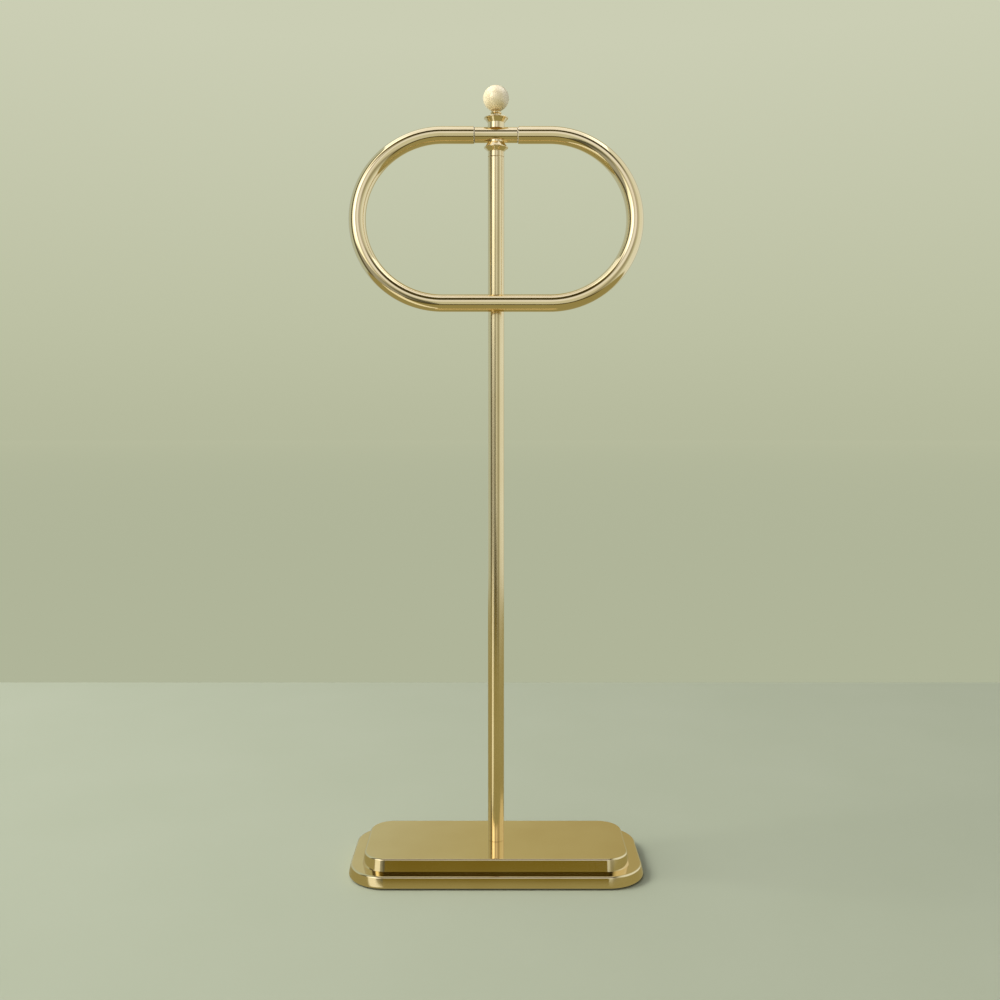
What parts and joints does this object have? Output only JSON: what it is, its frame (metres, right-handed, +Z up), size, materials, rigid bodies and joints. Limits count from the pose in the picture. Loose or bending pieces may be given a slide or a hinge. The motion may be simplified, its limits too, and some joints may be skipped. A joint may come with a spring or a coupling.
{
  "type": "freestanding towel stand",
  "caption": "Floor-standing towel stand in polished brass: stepped rectangular base, slim round pole, swinging oval towel ring on a short cross bar, and a ball finial.",
  "frame": {"origin": "on the floor, under the middle of the base and the axis of the pole", "axes": "+Z up along the pole, +X along the cross bar and the ring's swing axis, -Y towards the front, where the ring hangs"},
  "size_m": [0.3418, 0.1512, 0.916],
  "materials": {
    "polished_brass": "polished",
    "zinc_steel": "zinc plated",
    "black_steel": "satin powder coat",
    "cast_iron": "as cast, painted",
    "black_rubber": "matt",
    "nylon": "moulded"
  },
  "bodies": {
    "stand": {"base_lower_tier": "polished_brass", "base_upper_tier": "polished_brass", "base_spacer": "zinc_steel", "tier_bosses": "zinc_steel", "tier_screws": "zinc_steel", "ballast_slab": "cast_iron", "bottom_cover": "black_steel", "cover_screws": "zinc_steel", "foot_pads": "black_rubber", "pole_bolt_washer": "zinc_steel", "pole_bolt_spring_washer": "zinc_steel", "pole_bolt": "zinc_steel", "pole_tube": "polished_brass", "pole_foot_plug": "zinc_steel", "pole_cap": "polished_brass", "lower_bead": "polished_brass", "cross_bar": "polished_brass", "upper_collar": "polished_brass", "finial_neck": "polished_brass", "finial_ball": "polished_brass", "finial_stud": "zinc_steel", "right_pivot_pin": "zinc_steel", "left_pivot_pin": "zinc_steel"},
    "ring": {"towel_ring": "polished_brass", "right_ring_bush": "nylon", "left_ring_bush": "nylon"}
  },
  "joints": [
    {"name": "ring_swing", "type": "hinge", "parent": "stand", "child": "ring", "pos_m": [0, 0, 0.8588], "axis": [-1, 0, 0], "range_deg": [0, 348.5]}
  ]
}
